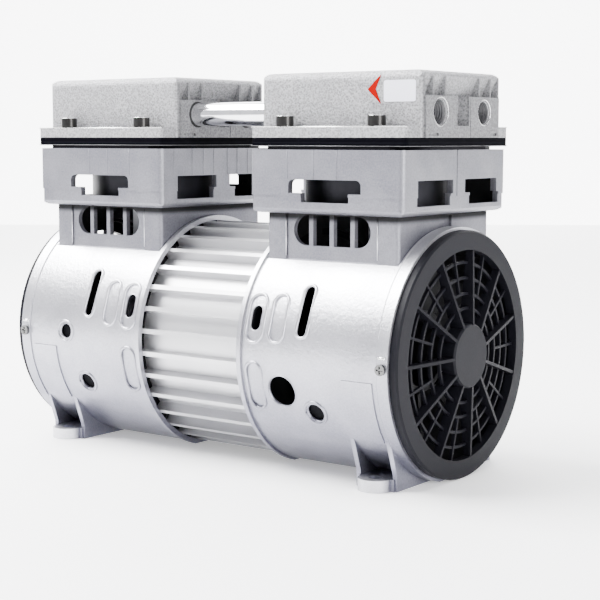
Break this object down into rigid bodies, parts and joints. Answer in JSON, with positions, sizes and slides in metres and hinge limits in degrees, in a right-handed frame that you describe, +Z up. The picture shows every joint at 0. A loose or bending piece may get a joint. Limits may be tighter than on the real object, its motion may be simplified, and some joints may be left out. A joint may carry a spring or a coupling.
{
  "type": "compressor pump head",
  "caption": "Oil-free twin-cylinder rocking-piston air compressor head: finned motor stator between two crankcases, with windowed cylinder boxes, ported heads and fan grilles.",
  "frame": {"origin": "middle of the footprint, on the plane under the feet", "axes": "+X along the shaft towards the ported end, -Y towards the front, +Z up"},
  "size_m": [0.2528, 0.1258, 0.1946],
  "materials": {
    "cast_drum": "satin die-cast",
    "fin_aluminium": "bright extruded",
    "sand_cast": "sand-cast, rough",
    "lamination": "laminated steel",
    "copper": "enamelled copper",
    "plain_steel": "plated",
    "spring_steel": "polished strip",
    "liner": "hard anodised",
    "rubber": "matt",
    "black_plate": "black",
    "chrome_tube": "polished",
    "grille_plastic": "fine grain",
    "fan_plastic": "moulded",
    "label": "printed film",
    "arrow_red": "printed film",
    "crank_iron": "machined",
    "rod_alloy": "die-cast",
    "cup": "filled PTFE"
  },
  "bodies": {
    "casing": {"crankcase_left": "cast_drum", "crankcase_right": "cast_drum", "stator_housing": "fin_aluminium", "cylinder_head_left": "sand_cast", "cylinder_head_right": "sand_cast", "stator_core": "lamination", "stator_windings": "copper", "stator_bolts": "plain_steel", "stator_nuts": "plain_steel", "head_screws_left": "plain_steel", "head_screws_right": "plain_steel", "grille_screws": "plain_steel", "main_bearing_outers": "plain_steel", "reed_clamps": "plain_steel", "exhaust_stops": "plain_steel", "cylinder_liner_left": "liner", "cylinder_liner_right": "liner", "gasket_left": "rubber", "gasket_right": "rubber", "tube_seals": "rubber", "valve_plate_left": "black_plate", "valve_plate_right": "black_plate", "link_tube_front": "chrome_tube", "link_tube_rear": "chrome_tube", "grille_left": "grille_plastic", "grille_right": "grille_plastic", "flow_label": "label", "flow_arrow": "arrow_red"},
    "crank_assembly": {"motor_shaft": "plain_steel", "rotor_core": "lamination", "crank_left": "crank_iron", "crank_right": "crank_iron", "crank_set_screws": "plain_steel", "main_bearing_inners": "plain_steel", "pin_bearing_inners": "plain_steel", "fan_left": "fan_plastic", "fan_right": "fan_plastic", "fan_screws": "plain_steel"},
    "intake_valve_left": {"intake_reed_left": "spring_steel"},
    "intake_valve_right": {"intake_reed_right": "spring_steel"},
    "exhaust_valve_left": {"exhaust_reed_left": "spring_steel"},
    "exhaust_valve_right": {"exhaust_reed_right": "spring_steel"},
    "rod_left": {"con_rod_left": "rod_alloy", "pin_bearing_outer_left": "plain_steel"},
    "crank_link_left": {"inner_fan_screw_left": "plain_steel"},
    "piston_left": {"piston_plate_left": "rod_alloy", "piston_cup_left": "cup", "piston_cap_left": "rod_alloy", "piston_screw_left": "plain_steel"},
    "rod_right": {"con_rod_right": "rod_alloy", "pin_bearing_outer_right": "plain_steel"},
    "crank_link_right": {"inner_fan_screw_right": "plain_steel"},
    "piston_right": {"piston_plate_right": "rod_alloy", "piston_cup_right": "cup", "piston_cap_right": "rod_alloy", "piston_screw_right": "plain_steel"}
  },
  "joints": [
    {"name": "crank_spin", "type": "hinge", "parent": "casing", "child": "crank_assembly", "pos_m": [0, 0, 0.0599], "axis": [1, 0, 0], "continuous": true},
    {"name": "rod_pivot_left", "type": "hinge", "parent": "crank_assembly", "child": "rod_left", "pos_m": [-0.073, -0.007, 0.0599], "axis": [1, 0, 0], "continuous": true},
    {"name": "link_pivot_left", "type": "hinge", "parent": "crank_assembly", "child": "crank_link_left", "pos_m": [-0.083, -0.0035, 0.0599], "axis": [1, 0, 0], "continuous": true},
    {"name": "piston_pivot_left", "type": "hinge", "parent": "crank_link_left", "child": "piston_left", "pos_m": [-0.073, 0, 0.0599], "axis": [1, 0, 0], "continuous": true},
    {"name": "intake_valve_hinge_left", "type": "hinge", "parent": "casing", "child": "intake_valve_left", "pos_m": [-0.056, -0.012, 0.15917], "axis": [0, -1, 0], "range_deg": [0, 2.2], "stiffness_Nm_per_rad": 0.05, "springref_deg": -1.15},
    {"name": "exhaust_valve_hinge_left", "type": "hinge", "parent": "casing", "child": "exhaust_valve_left", "pos_m": [-0.056, 0.012, 0.16383], "axis": [0, 1, 0], "range_deg": [0, 6], "stiffness_Nm_per_rad": 0.05, "springref_deg": -1.15},
    {"name": "rod_pivot_right", "type": "hinge", "parent": "crank_assembly", "child": "rod_right", "pos_m": [0.073, 0.007, 0.0599], "axis": [1, 0, 0], "continuous": true},
    {"name": "link_pivot_right", "type": "hinge", "parent": "crank_assembly", "child": "crank_link_right", "pos_m": [0.083, 0.0035, 0.0599], "axis": [1, 0, 0], "continuous": true},
    {"name": "piston_pivot_right", "type": "hinge", "parent": "crank_link_right", "child": "piston_right", "pos_m": [0.073, 0, 0.0599], "axis": [1, 0, 0], "continuous": true},
    {"name": "intake_valve_hinge_right", "type": "hinge", "parent": "casing", "child": "intake_valve_right", "pos_m": [0.056, -0.012, 0.15917], "axis": [0, 1, 0], "range_deg": [0, 2.2], "stiffness_Nm_per_rad": 0.05, "springref_deg": -1.15},
    {"name": "exhaust_valve_hinge_right", "type": "hinge", "parent": "casing", "child": "exhaust_valve_right", "pos_m": [0.056, 0.012, 0.16383], "axis": [0, -1, 0], "range_deg": [0, 6], "stiffness_Nm_per_rad": 0.05, "springref_deg": -1.15}
  ],
  "couplings": [
    {"joint": "rod_pivot_left", "follows": "crank_spin", "ratio": -1},
    {"joint": "link_pivot_left", "follows": "crank_spin", "ratio": -2},
    {"joint": "piston_pivot_left", "follows": "crank_spin", "ratio": 1},
    {"joint": "rod_pivot_right", "follows": "crank_spin", "ratio": -1},
    {"joint": "link_pivot_right", "follows": "crank_spin", "ratio": -2},
    {"joint": "piston_pivot_right", "follows": "crank_spin", "ratio": 1}
  ]
}
